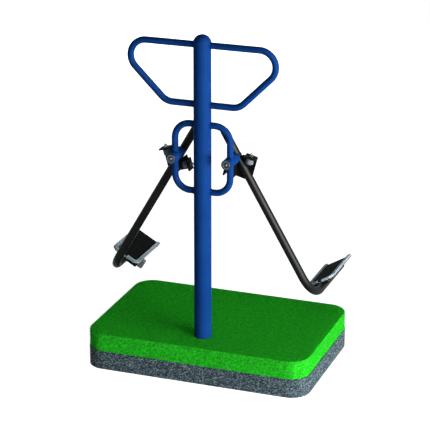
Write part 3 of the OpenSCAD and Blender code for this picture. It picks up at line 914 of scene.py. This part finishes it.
class TRAINER_OT_edges(bpy.types.Operator):
    """Round the edges of the sawn, folded and moulded pieces"""

    bl_idname = "trainer.edges"
    bl_label = "Edges"

    def execute(self, context):
        # widths in millimetres: the edges of plates, of rolled rims, of moulded bumpers and of
        # small pieces
        folded = context.scene.trainer_details.edge / MM
        rolled, moulded, small = 1.6, 2.5, 0.8
        for name in both("stop_wings", "stop_lug", "pedal_brackets", "pedal_plate"):
            soften(name, folded)
        for name in both("inner_rim", "outer_rim"):
            soften(name, rolled, 3)
        for name in both("pedal_bumper"):
            soften(name, moulded, 3)
        for name in both("buffers", "tread_mat", "front_disc", "tube_plugs"):
            soften(name, small)
        return {"FINISHED"}


class TRAINER_OT_welds(bpy.types.Operator):
    """Lay the weld beads between tubes, hubs, lugs and plates"""

    bl_idname = "trainer.welds"
    bl_label = "Welds"

    def execute(self, context):
        weld = context.scene.trainer_details.weld
        # along plates the beads are smaller
        fine = weld * 0.8
        x_axis, y_axis, z_axis = Vector((1, 0, 0)), Vector((0, 1, 0)), Vector((0, 0, 1))
        post_low, post_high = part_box("post_tube")
        post = Vector(((post_low.x + post_high.x) / 2, PIVOT.y, 0))
        post_radius = (post_high.x - post_low.x) / 2
        bar_low, bar_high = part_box("right_handlebar")
        bar_radius = (bar_high.y - bar_low.y) / 2
        bow_high, bow_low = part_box("right_upper_bow")[1].z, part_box("right_lower_bow")[0].z
        hub_low, hub_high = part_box("right_hub")
        hub_radius = (hub_high.z - hub_low.z) / 2
        lug_low, lug_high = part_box("right_stop_lug")
        work = bmesh.new()
        for sign in SIDES.values():
            heights = (
                bar_high.z - bar_radius,
                bar_low.z + bar_radius,
                bow_high - bar_radius,
                bow_low + bar_radius,
            )
            for height in heights:
                centre = post + z_axis * height
                seam = round_joint(centre, bar_radius, post_radius, x_axis, z_axis, sign)
                bead(work, seam, weld)
            pivot = Vector((sign * PIVOT.x, PIVOT.y, PIVOT.z))
            for up in (-1, 1):
                bead(work, round_joint(pivot, bar_radius, hub_radius, z_axis, y_axis, up), weld)
            # the lug's beads down the bow stop 2 mm over its foot, and those under the hub 24 mm
            # before its rear edge
            half = (lug_high.x - lug_low.x) / 2
            flank = math.sqrt(bar_radius**2 - half**2)
            crown = math.sqrt(hub_radius**2 - half**2)
            foot = lug_low.z + 2 * MM
            rear = lug_high.y - 24 * MM
            for edge in (-half, half):
                start = pivot + Vector((edge, flank, -hub_radius - 2 * weld))
                end = Vector((start.x, start.y, foot))
                bead(work, line(start, end), fine, closed=False)
                start = pivot + Vector((edge, bar_radius + 2 * weld, -crown))
                end = Vector((start.x, rear, start.z))
                bead(work, line(start, end), fine, closed=False)
        piece("frame_welds", mesh_from("frame_welds", work), "frame", "blue_powder_coat")

        sleeve_low, sleeve_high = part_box("right_pivot_sleeve")
        sleeve_radius = (sleeve_high.z - sleeve_low.z) / 2
        leg_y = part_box("right_leg_tube")[0].y - PIVOT.y + LEG_RADIUS
        # a wing's beads run on both faces of its plate, where it meets the tube. They start 3 mm
        # under its upper edge, which lies lower on the inner wing, and end near its foot
        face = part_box("right_stop_wings")[1].y - PIVOT.y - leg_y + 0.2 * MM
        beside = LEG_RADIUS - 0.1 * MM
        tops = {-1: -40 * MM, 1: -12 * MM}
        bottom = -122 * MM
        for side in SIDES:
            work = bmesh.new()
            for reach in (-1, 1):
                centre = Vector((0, leg_y, 0))
                seam = round_joint(centre, sleeve_radius, LEG_RADIUS, y_axis, z_axis, reach)
                bead(work, [leg_point(side, *point) for point in seam], weld)
            for wing, top in tops.items():
                for y in (leg_y - face, leg_y + face):
                    start = leg_point(side, wing * beside, y, top)
                    end = leg_point(side, wing * beside, y, bottom)
                    bead(work, line(start, end), fine, closed=False)
            name = f"{side}_leg_welds"
            piece(name, mesh_from(name, work), f"{side}_leg", "black_powder_coat")
        return {"FINISHED"}


class TRAINER_OT_threads(bpy.types.Operator):
    """Cut the threads that show on the buffers' studs"""

    bl_idname = "trainer.threads"
    bl_label = "Threads"

    def execute(self, context):
        pitch = context.scene.trainer_details.thread_pitch
        # how much of the stud the thread covers, and how far it stands over the stud's end
        reach, proud = 6.8 * MM, 0.1 * MM
        for side in SIDES:
            points = [v.co for v in NODES[f"{side}_buffer_studs"].data.vertices]
            foot = leg_point(side, 0, 0, 0)
            work = bmesh.new()
            for wing in (-1, 1):
                out = (leg_point(side, wing, 0, 1) - foot).normalized()
                top = max(p.dot(out) for p in points)
                rim = [p for p in points if p.dot(out) > top - 0.05 * MM]
                tip = sum(rim, Vector()) / len(rim)
                radius = (rim[0] - tip).length
                thread(work, tip - out * reach, out, radius, reach + proud, pitch)
            name = f"{side}_threads"
            piece(name, mesh_from(name, work), f"{side}_leg", "galvanised_steel")
        return {"FINISHED"}


class TRAINER_OT_stage(bpy.types.Operator):
    """Set up the pale studio: floor, lamps and the photograph's camera"""

    bl_idname = "trainer.stage"
    bl_label = "Stage"

    def execute(self, context):
        scene = context.scene
        stage = scene.trainer_stage
        turn, tilt = stage.turn, stage.tilt

        camera = bpy.data.objects.new("camera", bpy.data.cameras.new("camera"))
        scene.collection.objects.link(camera)
        camera.data.lens = stage.lens
        camera.data.sensor_width = 36
        camera.data.sensor_fit = "HORIZONTAL"
        camera.data.clip_end = 200
        # the photo's centre lies a fraction of a pixel beside the camera's axis
        camera.data.shift_x = -0.0018
        camera.data.shift_y = 0.0008
        right = Vector((math.cos(turn), math.sin(turn), 0))
        level = Vector((math.sin(turn), -math.cos(turn), 0))
        back = level * math.cos(tilt) + Vector((0, 0, math.sin(tilt)))
        axes = Matrix((right, back.cross(right), back)).transposed()
        camera.matrix_world = Matrix.Translation(stage.camera) @ axes.to_4x4()
        scene.camera = camera

        # the floor lies just under the block, and its edges, 60 m away, outside the picture
        work = bmesh.new()
        bmesh.ops.create_grid(work, x_segments=8, y_segments=8, size=60)
        floor = bpy.data.objects.new("floor", mesh_from("floor", work))
        floor.location.z = -0.5 * MM
        scene.collection.objects.link(floor)
        inputs = {"Roughness": 0.9, "Specular IOR Level": 0.1, "Emission Color": (1, 1, 1, 1)}
        material, tree, shader, place = finish("pale_matt_floor", inputs)
        dust = add(tree, "ShaderNodeTexNoise", {"Vector": place, "Scale": per(2500), "Detail": 2.0})
        tint = add(
            tree,
            "ShaderNodeValToRGB",
            {"Fac": dust.outputs["Fac"]},
            stops=[(0.3, "#e4e4e4"), (0.7, "#e8e8e8")],
        )
        surface(tree, shader, tint.outputs["Color"])
        # a glow that lifts the floor to the photo's white. Only the camera and gloss see it
        glow = {0: seen_directly(tree), 1: 0.94}
        lift = add(tree, "ShaderNodeMath", glow, operation="MULTIPLY")
        tree.links.new(lift.outputs["Value"], shader.inputs["Emission Strength"])
        floor.data.materials.append(material)

        world = bpy.data.worlds.new("studio")
        world.use_nodes = True
        tree = world.node_tree
        tree.nodes.clear()
        strength = add(
            tree,
            "ShaderNodeMapRange",
            {"Value": seen_directly(tree), "To Min": stage.ambient, "To Max": 1.0},
        )
        sky = add(
            tree,
            "ShaderNodeBackground",
            {"Color": (1, 1, 1, 1), "Strength": strength.outputs["Result"]},
        )
        add(tree, "ShaderNodeOutputWorld", {"Surface": sky.outputs["Background"]})
        scene.world = world

        # the lamps face the object's middle, roughly
        aim = Vector((0, 0, 0.8))
        # each lamp's direction and distance from there, its width and height, its power, whether
        # it lights and whether gloss shows it. The streak's lamp only draws the long highlight on
        # the right leg, and the lamp at the back only lights the side that the photo doesn't show
        lamps = {
            "key_softbox": ((0.92, -0.39, 0.02), 6.5, (4.0, 1.5), stage.key, True, True),
            "fill_softbox": ((0.35, -0.62, 0.7), 7.0, (4.5, 4.5), stage.fill, True, True),
            "streak_softbox": ((0.76, -0.53, 0.36), 6.5, (7.0, 2.5), stage.streak, False, True),
            "back_softbox": ((-0.35, 0.93, 0.0), 7.0, (4.5, 4.5), stage.back, True, False),
        }
        for name, (direction, distance, size, power, lights, shines) in lamps.items():
            towards = Vector(direction)
            lamp = bpy.data.lights.new(name, "AREA")
            lamp.shape = "RECTANGLE"
            lamp.size, lamp.size_y = size
            lamp.energy = power
            holder = bpy.data.objects.new(name, lamp)
            holder.location = aim + towards.normalized() * distance
            holder.visible_diffuse = lights
            holder.visible_glossy = shines
            holder.rotation_euler = towards.to_track_quat("Z", "Y").to_euler()
            scene.collection.objects.link(holder)

        scene.view_settings.view_transform = "Standard"
        return {"FINISHED"}


class TRAINER_PT_panel(bpy.types.Panel):
    """Lists the trainer's operators, sizes and colours in the sidebar"""

    bl_idname = "TRAINER_PT_panel"
    bl_label = "Leg swing trainer"
    bl_space_type = "VIEW_3D"
    bl_region_type = "UI"
    bl_category = "Trainer"

    def draw(self, context):
        for operator in OPERATORS:
            self.layout.operator(operator.bl_idname)
        for scene_name, group in GROUPS.items():
            for name in group.__annotations__:
                self.layout.prop(getattr(context.scene, scene_name), name)


# each property group, and its name on the scene
GROUPS = {
    "trainer_details": TRAINER_PG_details,
    "trainer_colours": TRAINER_PG_colours,
    "trainer_stage": TRAINER_PG_stage,
}
OPERATORS = (
    TRAINER_OT_finishes,
    TRAINER_OT_turf,
    TRAINER_OT_edges,
    TRAINER_OT_welds,
    TRAINER_OT_threads,
    TRAINER_OT_stage,
)


def register():
    """Makes the classes known to Blender and hangs the property groups on the scene"""
    for item in (*GROUPS.values(), *OPERATORS, TRAINER_PT_panel):
        bpy.utils.register_class(item)
    for name, group in GROUPS.items():
        setattr(bpy.types.Scene, name, bpy.props.PointerProperty(type=group))


def unregister():
    """Takes away what register made"""
    for name in GROUPS:
        delattr(bpy.types.Scene, name)
    for item in reversed((*GROUPS.values(), *OPERATORS, TRAINER_PT_panel)):
        bpy.utils.unregister_class(item)


def main():
    """Dresses the whole object"""
    register()
    bpy.ops.trainer.finishes()
    bpy.ops.trainer.turf()
    bpy.ops.trainer.edges()
    bpy.ops.trainer.welds()
    bpy.ops.trainer.threads()
    bpy.ops.trainer.stage()


if __name__ == "__main__":
    main()
